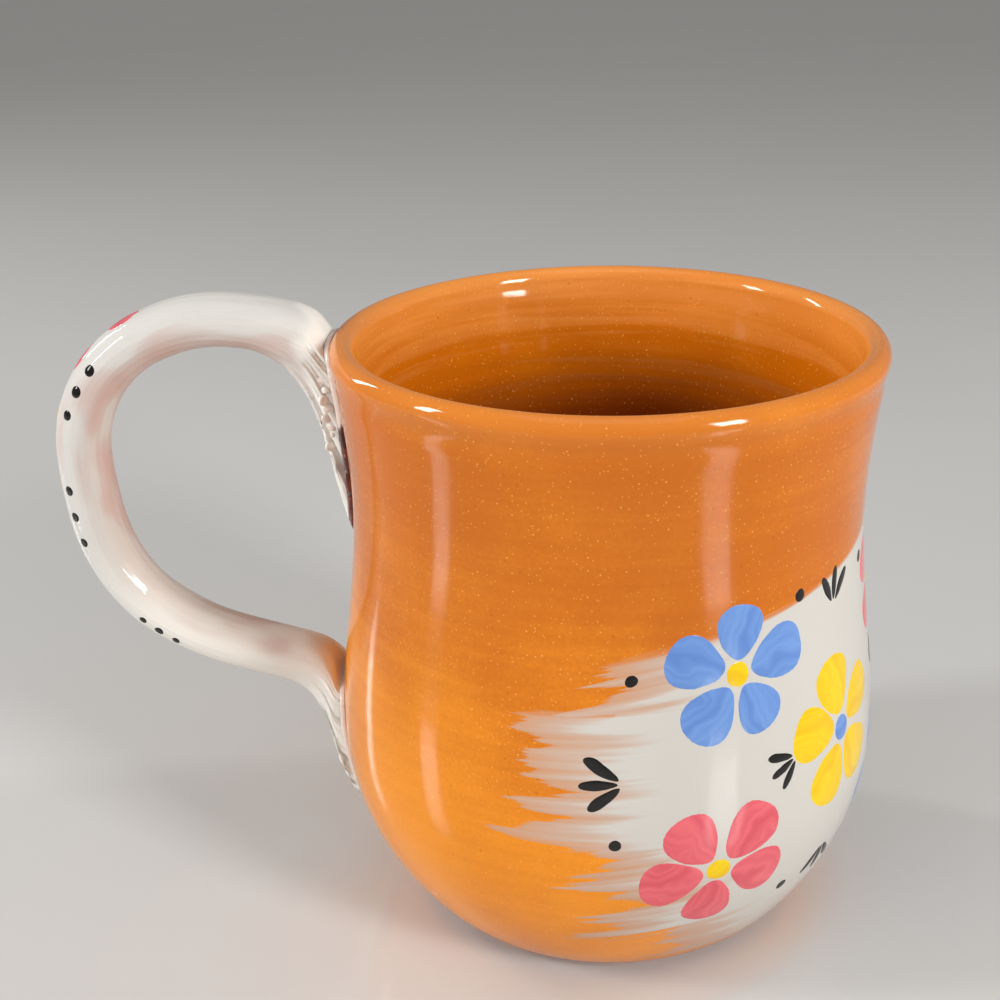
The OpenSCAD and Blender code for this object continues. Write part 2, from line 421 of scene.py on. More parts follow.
@dataclass(frozen=True)
class GlazedClay(Finish):
    """Clear gloss glaze over orange earthenware, with a panel of brushed white slip."""

    light_clay: Colour = srgb(240, 146, 26)
    deep_clay: Colour = srgb(196, 102, 10)
    # Painted shade down inside the mug.
    painted_inner_shade: Colour = srgb(138, 60, 10)
    worn_lip: Colour = srgb(246, 164, 84)
    film: Colour = srgb(200, 150, 116)
    thin_slip: Colour = srgb(198, 168, 149)
    thick_slip: Colour = srgb(203, 198, 190)
    wall_r: float = 46 * MM
    cloud_scale: float = 48.0
    grain_scale: float = 1500.0
    turning_scales: tuple[float, float, float] = (22.0, 22.0, 520.0)
    # Heights over which painted light lifts the tone low on the mug and lets it fall towards the
    # lip.
    painted_light_levels: Pair = (25 * MM, 90 * MM)
    shaded_levels: Pair = (60 * MM, 104 * MM)
    floor_levels: Pair = (12 * MM, 62 * MM)
    worn_levels: Pair = (95.4 * MM, 108.4 * MM)
    worn_waver: float = 4 * MM
    worn_step: float = 5 * MM
    speckles: tuple[Speckle, ...] = (
        Speckle(srgb(250, 202, 108), 1150.0, 0.2, 0.75, 0.28),
        Speckle(srgb(250, 202, 108), 700.0, 0.13, 0.6, 0.45),
        Speckle(srgb(158, 80, 22), 420.0, 0.13, 0.3, 0.4),
    )
    dry_length: float = 13 * MM
    film_length: float = 26 * MM
    clump_scales: Pair = (14.0, 290.0)
    hair_scales: Pair = (30.0, 950.0)
    streak_scales: Pair = (14.0, 280.0)
    clump_edge: float = 5 * MM
    hair_edge: float = 2.5 * MM
    edge_fade: Pair = (-1.2 * MM, 0.4 * MM)
    strokes: tuple[BrushStroke, ...] = (
        BrushStroke(68 * MM, 10.0 * MM, -70 * MM, 78 * MM, 0.13, -0.3, 1.7),
        BrushStroke(52 * MM, 12.0 * MM, -84 * MM, 68 * MM, 0.09, 0.3, 5.2),
        BrushStroke(34 * MM, 11.5 * MM, -74 * MM, 84 * MM, 0.12, -0.2, 9.4),
        BrushStroke(17 * MM, 9.0 * MM, -62 * MM, 64 * MM, 0.07, 0.4, 13.1),
    )

    def fibres(self, tree: Tree, around: Signal, level: Signal, scales: Pair, seed: float,
               detail: float = 2.0) -> Signal:
        """Noise drawn out round the wall, about zero on the average.

        Args:
            tree: Tree that the nodes go into.
            around: Distance round the wall.
            level: Height on the wall.
            scales: Fineness along the fibres and across them.
            seed: Place in the noise.
            detail: Layers of the noise.

        Returns:
            The noise.
        """
        spot = tree.vector(around * scales[0], level * scales[1], seed)
        return tree.noise(spot, detail=detail) - 0.5

    def stroke(self, tree: Tree, around: Signal, height: Signal,
               brush: BrushStroke) -> tuple[Signal, Signal]:
        """Slip left by one pass of the brush.

        Args:
            tree: Tree that the nodes go into.
            around: Distance round the wall from the place opposite the handle.
            height: Height on the wall.
            brush: The pass of the brush.

        Returns:
            How far the wall is covered, and how thick the slip lies, both from zero to one.
        """
        level = height - around * brush.tilt - around * around * brush.bend
        clumps = self.fibres(tree, around, level, self.clump_scales, brush.seed, 1.0)
        hairs = self.fibres(tree, around, level, self.hair_scales, brush.seed + 0.5)
        inset = tree.math("MINIMUM", around - brush.start, brush.end - around)
        wet = inset / self.dry_length + clumps * 2.6 + hairs * 1.3
        off = tree.math("ABSOLUTE", level - brush.height) - brush.half_width
        side = off + clumps * self.clump_edge + hairs * self.hair_edge
        cover = tree.smooth(wet, 0.14, 0.26) * tree.smooth(side, *self.edge_fade, 1.0, 0.0)
        body = inset / self.film_length + clumps * 1.2 + hairs * 0.8
        return cover, cover * tree.smooth(body, 0.0, 1.0, 0.1, 0.92)

    def clay(self, tree: Tree, place: Signal, grain: Signal, outside: Signal) -> Signal:
        """Colour of the glazed clay.

        Args:
            tree: Tree that the nodes go into.
            place: Position on the piece.
            grain: Fine noise of the clay.
            outside: One on the outside of the mug and zero inside it.

        Returns:
            The colour: mottled and speckled, lighter low down as painted light, darker down inside
                as painted shade, and worn at the lip.
        """
        z = tree.split(place)[2]
        inside = 1.0 - outside
        cloud = tree.noise(place, self.cloud_scale, 3.0)
        turning = tree.noise(tree.stretch(place, *self.turning_scales))
        # Painted light: the tone is lighter low on the mug and darker towards the lip, for light
        # thrown up on the lower belly.
        low = tree.smooth(z, *self.painted_light_levels, 0.22, -0.06)
        tone = tree.smooth(cloud * 0.4 + turning * 0.16 + grain * 0.14 + low, 0.22, 0.7)
        clay = tree.mix(tone, self.deep_clay, self.light_clay)
        clay = tree.mix(inside * tree.smooth(turning, 0.46, 0.66) * 0.22, clay, self.worn_lip)
        # Painted shade on the inner wall: darker further down, eased off on the floor.
        depth = tree.smooth(z, *self.shaded_levels, 1.0, 0.0) + (turning - 0.5) * 0.5
        deep = tree.smooth(depth, 0.0, 0.8) * tree.smooth(z, *self.floor_levels, 0.1, 1.0)
        clay = tree.mix(inside * deep, clay, self.painted_inner_shade)
        level = z + cloud * self.worn_waver - outside * self.worn_step
        clay = tree.mix(tree.smooth(level, *self.worn_levels, 0.0, 0.4), clay, self.worn_lip)
        for speckle in self.speckles:
            clay = tree.mix(speckle.cover(tree, place), clay, speckle.colour)
        return clay

    def paint(self, tree: Tree, shader: bpy.types.Node) -> None:
        """Glazed clay, and over it the slip, pinkish where it is thin."""
        place = self.place(tree)
        x, y, z = tree.split(place)
        grain = tree.noise(place, self.grain_scale)
        flat = tree.stretch(place, 1.0, 1.0, 0.0)
        normal = tree.signal("ShaderNodeNewGeometry", output="Normal")
        outward = tree.signal(
            "ShaderNodeVectorMath", {0: normal, 1: flat}, output="Value", operation="DOT_PRODUCT")
        outside = tree.math("GREATER_THAN", outward, 0.0)
        around = tree.math("ARCTAN2", y, x) * self.wall_r
        passes = [self.stroke(tree, around, z, brush) for brush in self.strokes]
        bare = math.prod(1.0 - cover for cover, _ in passes)
        thick = 1.0 - math.prod(1.0 - load for _, load in passes)
        body = thick + self.fibres(tree, around, z, self.streak_scales, 3.0) * 0.55
        slip = tree.mix(tree.smooth(body, 0.04, 0.4), self.film, self.thin_slip)
        slip = tree.mix(tree.smooth(body, 0.36, 0.78), slip, self.thick_slip)
        covered = (1.0 - bare) * outside
        clay = self.clay(tree, place, grain, outside)
        tree.feed(shader.inputs["Base Color"], tree.mix(covered, clay, slip))
        self.bump(tree, shader, covered * thick + grain * 0.1)


@dataclass(frozen=True)
class BareClay(Finish):
    """Unglazed fired clay, on the foot."""

    coat: float = 0.0
    roughness: float = 0.82
    specular: float = 0.3
    bump_depth: float = 0.15 * MM
    light: Colour = srgb(205, 132, 88)
    deep: Colour = srgb(172, 98, 60)
    grain_scale: float = 1100.0
    cloud_scale: float = 90.0

    def paint(self, tree: Tree, shader: bpy.types.Node) -> None:
        """Grainy clay with fine turning lines."""
        place = self.place(tree)
        grain = tree.noise(place, self.grain_scale, 4.0)
        cloud = tree.noise(place, self.cloud_scale)
        tone = tree.smooth(grain * 0.6 + cloud * 0.4, 0.35, 0.65)
        tree.feed(shader.inputs["Base Color"], tree.mix(tone, self.deep, self.light))
        self.bump(tree, shader, grain)


@dataclass(frozen=True)
class SlippedClay(Finish):
    """Clear gloss glaze over white slip brushed along the handle, pinkish where it is thin."""

    thick: Colour = srgb(206, 203, 197)
    thin: Colour = srgb(200, 184, 177)
    bald: Colour = srgb(198, 173, 163)
    paste: Colour = srgb(234, 230, 222)
    clay: Colour = srgb(150, 78, 48)
    coat: float = 0.65
    coat_roughness: float = 0.06
    bump_depth: float = 0.12 * MM
    patch_scales: tuple[float, float, float] = (62.0, 150.0, 150.0)
    streak_scales: tuple[float, float, float] = (42.0, 900.0, 900.0)
    crumb_scale: float = 900.0
    lower_run: Pair = (88 * MM, 112 * MM)
    # Sides of the strap whitened as painted light on the lower run, and how far that edge wavers.
    painted_light_side: Pair = (-5.5 * MM, -1 * MM)
    painted_light_waver: float = 6 * MM

    def paint(self, tree: Tree, shader: bpy.types.Node) -> None:
        """Brush patches along the strap, thin in places, with painted light whitening the lower run
        and its underside, and clay showing at the ragged seam.
        """
        strand = tree.carried("strand", "Vector")
        seam = tree.carried("seam")
        patch = tree.noise(tree.stretch(strand, *self.patch_scales), detail=1.0)
        streak = tree.noise(tree.stretch(strand, *self.streak_scales), detail=3.0)
        crumbs = tree.noise(self.place(tree), self.crumb_scale, 3.0)
        along, outer, _ = tree.split(strand)
        lower = tree.smooth(along, *self.lower_run)
        # Painted light: the lower run is made whiter, and its underside whiter still, as if lit from
        # low down.
        body = patch + (streak - 0.5) * 0.2 + seam * 0.12 + outer * 26.0 + lower * 0.14 + 0.03
        slip = tree.mix(tree.smooth(body, 0.28, 0.44), self.bald, self.thin)
        slip = tree.mix(tree.smooth(body, 0.42, 0.58), slip, self.thick)
        painted_underside_light = tree.smooth(outer + (patch - 0.5) * self.painted_light_waver, *self.painted_light_side, 0.0, 0.75)
        slip = tree.mix(painted_underside_light * lower, slip, self.paste)
        slip = tree.mix(tree.smooth(seam + (patch - 0.5), 0.2, 0.6), slip, self.paste)
        worn = tree.smooth(seam + (crumbs - 0.5) * 0.5, 1.03, 1.12)
        tree.feed(shader.inputs["Base Color"], tree.mix(worn, slip, self.clay))
        self.bump(tree, shader, streak * (1.0 - seam) + crumbs * 0.4)


@dataclass(frozen=True)
class LutingClay(Finish):
    """Red-brown clay squeezed out round the pressed-on ends, darkened as painted shade for the gap
    under them, with crumbs of slip.
    """

    # Both tones are made dark as painted shade for the gap under the handle's ends.
    deep: Colour = srgb(58, 16, 6)
    light: Colour = srgb(104, 40, 20)
    slip: Colour = srgb(224, 206, 194)
    roughness: float = 0.5
    coat_roughness: float = 0.12
    bump_depth: float = 0.2 * MM
    cloud_scale: float = 380.0
    crumb_scale: float = 240.0

    def paint(self, tree: Tree, shader: bpy.types.Node) -> None:
        """Dark blotchy clay, its darkness partly painted shade, slipped in places."""
        place = self.place(tree)
        cloud = tree.noise(place, self.cloud_scale, 3.0)
        crumbs = tree.noise(place, self.crumb_scale, 3.0)
        clay = tree.mix(tree.smooth(cloud, 0.35, 0.65), self.deep, self.light)
        # The dark clay left unslipped low on the ends is painted shade of the gap.
        slipped = tree.smooth(crumbs * 0.6 + tree.carried("head"), 0.4, 0.46)
        tree.feed(shader.inputs["Base Color"], tree.mix(slipped, clay, self.slip))
        self.bump(tree, shader, cloud)


@dataclass(frozen=True)
class BrushedPaint(Finish):
    """Glazed brush paint in one colour, a little uneven."""

    colour: Colour = (1.0, 1.0, 1.0, 1.0)
    shade: Colour = (1.0, 1.0, 1.0, 1.0)
    bump_depth: float = 0.08 * MM
    cloud_scale: float = 110.0
    streak_scales: tuple[float, float, float] = (60.0, 1100.0, 1.0)

    def paint(self, tree: Tree, shader: bpy.types.Node) -> None:
        """Two tones of the colour in streaks along each dab, with faint clouds between them."""
        brush = tree.carried("brush", "Vector")
        cloud = tree.noise(self.place(tree), self.cloud_scale)
        drawn = tree.stretch(brush, *self.streak_scales)
        streak = tree.noise(drawn + cloud * 4.0, detail=3.0)
        tone = tree.smooth(streak * 0.7 + cloud * 0.3, 0.3, 0.66)
        tree.feed(shader.inputs["Base Color"], tree.mix(tone, self.shade, self.colour))
        self.bump(tree, shader, streak)


@dataclass(frozen=True)
class StudioFloor(Finish):
    """Pale, faintly glossy table top."""

    coat: float = 0.0
    roughness: float = 0.15
    specular: float = 0.5
    light: Colour = srgb(206, 205, 203)
    deep: Colour = srgb(201, 200, 198)
    cloud_scale: float = 9.0

    def paint(self, tree: Tree, shader: bpy.types.Node) -> None:
        """Hardly visible clouds in the pale top."""
        tone = tree.noise(self.place(tree), self.cloud_scale)
        tree.feed(shader.inputs["Base Color"], tree.mix(tone, self.deep, self.light))


class Paint(Enum):
    """Brush colours of the painted motifs."""

    BLUE = BrushedPaint("blue_paint", colour=srgb(114, 153, 212), shade=srgb(94, 132, 198))
    YELLOW = BrushedPaint("yellow_paint", colour=srgb(243, 205, 8), shade=srgb(232, 184, 4))
    ROSE = BrushedPaint("rose_paint", colour=srgb(232, 108, 116), shade=srgb(212, 84, 96))
    BLACK = BrushedPaint("black_paint", colour=srgb(34, 31, 30), shade=srgb(20, 18, 18))


GLAZE = GlazedClay("glazed_clay")
BARE = BareClay("bare_clay")
SLIP = SlippedClay("brushed_slip")
PASTE = BrushedPaint("pressed_paste", colour=srgb(242, 238, 230), shade=srgb(216, 204, 194))
LUTING = LutingClay("squeezed_clay")
FLOOR = StudioFloor("pale_floor")


# Thrown body

@dataclass(frozen=True)
class ThrownProfile:
    """Half section of the thrown body, with the sizes and curves of its solid."""

    height: float = 107 * MM
    lip_r: float = 47.5 * MM
    waist_r: float = 44.8 * MM
    waist_z: float = 77.5 * MM
    belly_r: float = 48.25 * MM
    belly_z: float = 35.5 * MM
    base_r: float = 31.5 * MM
    flare_power: float = 1.8
    lip_wall: float = 4.6 * MM
    belly_wall: float = 5.6 * MM
    lip_round: float = 2.6 * MM
    floor_h: float = 8 * MM
    floor_dip: float = 0.8 * MM
    foot_r: float = 30.5 * MM
    foot_w: float = 6 * MM
    foot_h: float = 2.8 * MM
    recess_h: float = 2.2 * MM
    foot_round: float = 0.8 * MM
    recess_steps: int = 8
    corner_steps: int = 5
    ledge_steps: int = 3
    outside_steps: int = 140
    lip_steps: int = 21
    inside_steps: int = 110
    floor_steps: int = 25

    @property
    def lip_z(self) -> float:
        """Height at which the rounding of the lip starts."""
        return self.height - self.lip_round

    @property
    def belly_round(self) -> float:
        """Radius of the arc of the lower belly."""
        step = self.belly_r - self.base_r
        return (self.belly_z ** 2 + step ** 2) / (2 * step)

    def belly_arc(self, z: float, inset: float = 0.0) -> float:
        """Radius of the lower belly at a height, at an inset from its outside."""
        depth = (self.belly_round - inset) ** 2 - (self.belly_z - z) ** 2
        return self.belly_r - self.belly_round + math.sqrt(depth)

    def outer(self, z: float) -> float:
        """Outside radius at a height."""
        if z < self.belly_z:
            return self.belly_arc(z)
        if z < self.waist_z:
            turn = math.pi * (z - self.belly_z) / (self.waist_z - self.belly_z)
            return self.waist_r + (self.belly_r - self.waist_r) * (1 + math.cos(turn)) / 2
        if z < self.lip_z:
            share = (z - self.waist_z) / (self.lip_z - self.waist_z)
            return self.waist_r + (self.lip_r - self.waist_r) * share ** self.flare_power
        rise = min(1.0, (z - self.lip_z) / self.lip_round)
        return self.lip_r - self.lip_wall / 2 * (1 - math.sqrt(1 - rise ** 2))

    def inner(self, z: float) -> float:
        """Inside radius at a height."""
        if z < self.belly_z:
            return self.belly_arc(z, self.belly_wall)
        share = (z - self.belly_z) / (self.lip_z - self.belly_z)
        return self.outer(z) - (self.belly_wall + (self.lip_wall - self.belly_wall) * share)

    def foot_corner(self, middle: float, start: float) -> list[tuple[float, float]]:
        """Quarter round on an edge of the foot ring, from a starting angle."""
        turns = np.linspace(start, start + math.pi / 2, self.corner_steps + 1)
        lift = self.foot_round
        return [(middle + lift * math.cos(a), lift + lift * math.sin(a)) for a in turns]

    def outside(self, steps: int) -> list[tuple[float, float]]:
        """Points up the outside, from the top of the foot ring to the lip."""
        levels = np.linspace(self.foot_h, self.lip_z, steps)
        return [(self.outer(z), z) for z in levels]

    def section(self) -> list[tuple[float, float]]:
        """Points of the half section, from the middle of the recess to the middle of the floor."""
        ring = self.foot_r - self.foot_w
        recess = [(r, self.recess_h) for r in np.linspace(0, ring, self.recess_steps + 1)]
        foot = self.foot_corner(ring + self.foot_round, math.pi)
        foot += self.foot_corner(self.foot_r - self.foot_round, 1.5 * math.pi)
        ledge = np.linspace(self.foot_r, self.outer(self.foot_h), self.ledge_steps + 1)[:-1]
        step = [(r, self.foot_h) for r in ledge]
        half = self.lip_wall / 2
        turns = np.linspace(0, math.pi, self.lip_steps + 1)[1:-1]
        lip = [(self.lip_r - half + half * math.cos(a), self.lip_z + self.lip_round * math.sin(a))
               for a in turns]
        levels = np.linspace(self.lip_z, self.floor_h, self.inside_steps)
        inside = [(self.inner(z), z) for z in levels]
        rim = self.inner(self.floor_h)
        shares = np.linspace(1, 0, self.floor_steps + 1)[1:]
        floor = [(rim * s, self.floor_h - self.floor_dip * (1 - s ** 2)) for s in shares]
        return recess + foot + step + self.outside(self.outside_steps) + lip + inside + floor


@dataclass(frozen=True)
class ThrownBody:
    """The thrown and turned body: its section swept round the axis, with the marks of throwing."""

    profile: ThrownProfile
    segments: int = 256
    ring_pitch: float = 5.2 * MM
    inside_ring: float = 0.1 * MM
    outside_ring: float = 0.008 * MM
    waver: float = 0.35 * MM
    inset: float = 0.12 * MM
    groove: float = 0.25 * MM
    groove_drop: float = 5.6 * MM
    groove_half: float = 2.6 * MM
    ring_scale: float = 38.0
    waver_scale: float = 26.0
    still_levels: Pair = (3 * MM, 12 * MM)
    still_joint: Pair = (-42 * MM, -30 * MM)
    glaze_rise: float = 0.05 * MM
    weld: float = 0.002 * MM

    def tree(self) -> GeometryTree:
        """Tree that sweeps a section line round the axis and ripples it."""
        tree = GeometryTree("thrown_wall")
        segments, rows = tree.inputs("Int", "segments", "rows")
        pitch, inside_ring, outside_ring, waver, inset = tree.inputs(
            "Float", "ring_pitch", "inside_ring", "outside_ring", "waver", "inset")
        groove, groove_z, groove_half, glaze_line = tree.inputs(
            "Float", "groove", "groove_z", "groove_half", "glaze_line")
        glaze, bare = tree.inputs("Material", "glaze", "bare")

        columns = segments + 1.0
        grid = tree.signal("GeometryNodeMeshGrid", {"Vertices X": rows, "Vertices Y": columns})
        index = tree.signal("GeometryNodeInputIndex")
        row = tree.math("FLOOR", index / columns)
        turn = (row * columns - index) / segments * math.tau
        here = tree.position()
        sample = {"Geometry": tree.source, "Value": here, "Index": row}
        point = tree.signal("GeometryNodeSampleIndex", sample, data_type="FLOAT_VECTOR")
        radius, _, level = tree.split(point)
        swept = tree.placed(grid, tree.vector(
            radius * tree.math("COSINE", turn), radius * tree.math("SINE", turn), level))
        closed = tree.signal(
            "GeometryNodeMergeByDistance", {"Geometry": swept, "Distance": self.weld})

        x, y, z = tree.split(here)
        normal = tree.normal()
        side_x, side_y, _ = tree.split(normal)
        angle = tree.math("ARCTAN2", y, x)
        facing = side_x * tree.math("COSINE", angle) + side_y * tree.math("SINE", angle)
        outward = tree.math("MAXIMUM", facing, 0.0)
        inward = tree.math("MAXIMUM", 0.0 - facing, 0.0)
        wave = tree.math("SINE", z / pitch * math.tau - angle)
        strength = tree.noise(here, self.ring_scale, 1.0)
        ring = wave * strength * (inward * inside_ring + outward * outside_ring)
        sway = (tree.noise(here, self.waver_scale, 1.0) * waver + inset) * outward
        off_table = tree.smooth(z, *self.still_levels)
        off_handle = tree.smooth(x, *self.still_joint)
        from_groove = tree.math("ABSOLUTE", z - groove_z) / groove_half
        turned = tree.smooth(from_groove, 0.0, 1.0, 1.0, 0.0) * groove * outward
        depth = (ring - sway - turned - outward * outside_ring) * off_table * off_handle
        rippled = tree.placed(closed, offset=tree.scaled(normal, depth))

        glazed = tree.ending(rippled, glaze)
        low = tree.math("LESS_THAN", z, glaze_line)
        both = {"Geometry": glazed, "Selection": low, "Material": bare}
        tree.feed(tree.exit.inputs[0], tree.signal("GeometryNodeSetMaterial", both))
        return tree

    def build(self) -> bpy.types.Object:
        """Makes the body and lets it stand for its solid."""
        points = [(r, 0.0, z) for r, z in self.profile.section()]
        line = polyline("thrown_body", points)
        body = self.tree().settle(line, {
            **vars(self),
            "rows": len(points),
            "groove_z": self.profile.height - self.groove_drop,
            "glaze_line": self.profile.foot_h + self.glaze_rise,
            "glaze": GLAZE.material(),
            "bare": BARE.material(),
        })
        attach(body, ROOT)
        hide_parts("body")
        return body


# Handle and luting

def bezier(points: np.ndarray, share: float) -> np.ndarray:
    """Point on a third-order curve at a share of its way."""
    rest = 1 - share
    weights = (rest ** 3, 3 * rest ** 2 * share, 3 * rest * share ** 2, share ** 3)
    return sum(w * p for w, p in zip(weights, points))


def bezier_way(points: np.ndarray, share: float) -> np.ndarray:
    """Unit vector along a third-order curve at a share of its way."""
    rest = 1 - share
    steps = np.diff(points, axis=0)
    way = rest ** 2 * steps[0] + 2 * rest * share * steps[1] + share ** 2 * steps[2]
    return way / np.linalg.norm(way)


def tube_faces(rings: int, sides: int) -> list[tuple[int, ...]]:
    """Faces of a tube of rings, closed by a point at its start and one at its end."""
    around = [(i, (i + 1) % sides) for i in range(sides)]
    top, first, last = (rings - 1) * sides, rings * sides, rings * sides + 1
    faces = [(k + i, k + j, k + sides + j, k + sides + i)
             for k in range(0, top, sides) for i, j in around]
    for i, j in around:
        faces += [(first, j, i), (last, top + i, top + j)]
    return faces


@dataclass(frozen=True)
class SurfaceLine:
    """Points in a line on the handle, with the ways across and along it."""

    points: np.ndarray
    across: np.ndarray
    along: np.ndarray

    def out(self) -> np.ndarray:
        """Ways square to the line and to what runs across it."""
        return np.cross(self.across, self.along)


@dataclass(frozen=True)
class PressedEnd:
    """One end of the handle, flared and pressed on to the wall with a ragged edge."""

    mid_z: float
    half_w: float
    head_h: float
    tail_h: float
    first_side: int
    taper_share: float
    spread_share: float
    edge_shares: Pair
    tuck_shares: Pair
    seed: float
    notch: float = 0.3
    notch_size: float = 2.1 * MM
    pad_power: float = 0.65
    head_hold: float = 0.8
    tear_height: float = 0.3
    notch_lobes: float = 3.0
    notch_bias: float = 0.2
    fine_notch: float = 0.5
    fine_notch_scale: float = 2.7

    def share_at(self, shares: Pair, angle: float) -> float:
        """Share at an angle round the end, from one at its head to one at its tail."""
        return shares[1] + (shares[0] - shares[1]) * (1 + math.cos(angle) * self.first_side) / 2

    def outline(self, angle: float, grow: float = 0.0, ragged: float = 1.0) -> tuple[float, float]:
        """Edge of the end on the wall.

        Args:
            angle: Angle round the middle of the end.
            grow: How far the edge is moved out.
            ragged: How much of the torn edge is kept, one being all of it.

        Returns:
            Distance round the wall from the handle's plane, and height.
        """
        rise = math.cos(angle) * self.first_side
        side = math.sin(angle)
        grow *= 1 - self.head_hold * max(0.0, rise)
        if rise > 0:
            reach, taper = self.head_h + grow * self.spread_share, 1.0
        else:
            reach, taper = self.tail_h + grow, 1 - self.taper_share * rise ** 2
        across = math.copysign(abs(side) ** self.pad_power, side)
        height = reach * rise
        level = (self.mid_z + height) / self.notch_size
        spot = Vector((across * self.notch_lobes, level, self.seed))
        bite = max(0.0, noise.noise(spot) + self.notch_bias)
        bite += self.fine_notch * max(0.0, noise.noise(spot * self.fine_notch_scale))
        torn = self.notch * ragged * bite * min(1.0, 1 - rise)
        width = (self.half_w + grow) * taper * across
        return width * (1 - torn), self.mid_z + height * (1 - self.tear_height * torn)


@dataclass(frozen=True)
class PulledHandle:
    """The pulled strap, bent to a loop, with its two flared ends and what is painted on it."""

    profile: ThrownProfile
    loop_out: float = 47 * MM
    upper_join_drop: float = 7.5 * MM
    lower_join_z: float = 37.5 * MM
    strap_t: float = 9.6 * MM
    strap_w: float = 12 * MM
    upper_pad_w: float = 6.8 * MM
    upper_pad_drop: float = 0.9 * MM
    upper_tail: float = 29.5 * MM
    lower_pad_w: float = 8.5 * MM
    lower_pad_up: float = 2.6 * MM
    lower_tail: float = 25 * MM
    luting_t: float = 0.9 * MM
    fit: float = 0.08 * MM
    upper_loop_shares: tuple = ((0, 1), (0.31, 1.275), (1.0, 1.127), (1, 0.726))
    lower_loop_shares: tuple = ((1, 0.726), (1, 0.125), (0.42, 0.15), (0, 0.05))
    upper_end_share: float = 0.3
    lower_end_share: float = 0.84
    lead_share: float = 0.95
    sides: int = 192
    strap_steps: int = 56
    flare_steps: int = 40
    cap_steps: int = 5
    seam_steps: int = 40
    lump: float = 0.3 * MM
    lump_size: float = 15 * MM
    pull_line: float = 0.16 * MM
    pull_line_sizes: tuple = (40 * MM, 1.6 * MM, 1.6 * MM)
    smear: float = 1.5 * MM
    smear_sizes: tuple = (3.2 * MM, 3.2 * MM, 1.6 * MM)

    @property
    def upper_end(self) -> PressedEnd:
        """Upper end, pressed on just under the lip."""
        head = self.upper_join_drop - self.upper_pad_drop
        return PressedEnd(
            self.upper_join_z, self.upper_pad_w, head, self.upper_tail, first_side=1,
            taper_share=0.2, spread_share=0.2, edge_shares=(0.14, 0.27), tuck_shares=(0.6, 0.4),
            seed=2.3)

    @property
    def lower_end(self) -> PressedEnd:
        """Lower end, pressed on at the belly."""
        return PressedEnd(
            self.lower_join_z, self.lower_pad_w, self.lower_pad_up, self.lower_tail, first_side=-1,
            taper_share=-0.3, spread_share=1.0, edge_shares=(0.14, 0.46), tuck_shares=(0.15, 0.1),
            seed=7.9, pad_power=0.5)

    @property
    def upper_join_z(self) -> float:
        """Height of the middle of the upper end."""
        return self.profile.height - self.upper_join_drop

    @property
    def seat(self) -> float:
        """Distance of the pressed-on ends off the wall."""
        return self.luting_t + 2 * self.fit

    @property
    def first_strap(self) -> int:
        """Number of the first plain ring of the strap."""
        return self.cap_steps - 1 + self.flare_steps

    @property
    def flare_shares(self) -> np.ndarray:
        """Shares of the way from the strap to the wall at which a flare has its rings."""
        return np.arange(1, self.flare_steps + 1) / self.flare_steps

    def side_at(self, turn: float) -> int:
        """Number of the point of a ring at an angle round it, in degrees."""
        return round(turn / 360 * self.sides) % self.sides

    def beside(self, radius: float, across: float, z: float, off: float) -> np.ndarray:
        """Point beside a round wall, at a distance from the handle's plane, a height and a gap."""
        angle = across / radius
        return np.array((-(radius + off) * math.cos(angle), (radius + off) * math.sin(angle), z))

    def on_wall(self, across: float, z: float, off: float) -> np.ndarray:
        """Point off the body's own face."""
        return self.beside(self.profile.outer(z), across, z, off)

    def on_side(self, across: float, z: float, off: float) -> np.ndarray:
        """Point off the body's side, carried straight up past the lip."""
        return self.beside(self.profile.outer(min(z, self.profile.lip_z)), across, z, off)

    def loop(self, shares: Sequence, join_z: float) -> np.ndarray:
        """Control points of half of the loop, as distances from the axis and heights."""
        wall = self.profile.outer(join_z)
        far = self.profile.lip_r + self.loop_out
        rise = self.upper_join_z - self.lower_join_z
        return np.array([
            (wall + (far - wall) * out, self.lower_join_z + rise * up) for out, up in shares])

    def strap_ring(self, loop: np.ndarray, share: float) -> np.ndarray:
        """Oval ring round the strap, its first point on the outside of the loop."""
        middle, way = bezier(loop, share), bezier_way(loop, share)
        out = np.array((-way[1], way[0]))
        turns = np.arange(self.sides) * math.tau / self.sides
        flat = middle + np.outer(np.cos(turns), out) * self.strap_t / 2
        return np.column_stack((-flat[:, 0], self.strap_w / 2 * np.sin(turns), flat[:, 1]))

    def flare(self, ring: np.ndarray, way: np.ndarray, end: PressedEnd) -> list[np.ndarray]:
        """Rings that flare from the last plain ring of the strap to the edge on the wall.

        Args:
            ring: Last plain ring of the strap.
            way: Direction of the strap towards the wall.
            end: The pressed-on end.

        Returns:
            The rings, from the strap to the wall.
        """
        curves = []
        for i, start in enumerate(ring):
            angle = math.tau * i / self.sides
            level = min(start[2], self.profile.lip_z)
            gap = math.hypot(start[0], start[1]) - self.profile.outer(level)
            edge = np.array(end.outline(angle))
            ahead = np.array((start[1], start[2] + way[2] * gap))
            tucked = edge + (ahead - edge) * end.share_at(end.tuck_shares, angle)
            thick = (gap - self.seat) * end.share_at(end.edge_shares, angle)
            lead = start + way * (gap - self.seat) * self.lead_share
            rim = self.on_side(tucked[0], tucked[1], self.seat + thick)
            curves.append((start, lead, rim, self.on_wall(edge[0], edge[1], self.seat)))
        return [np.array([bezier(c, share) for c in curves]) for share in self.flare_shares]

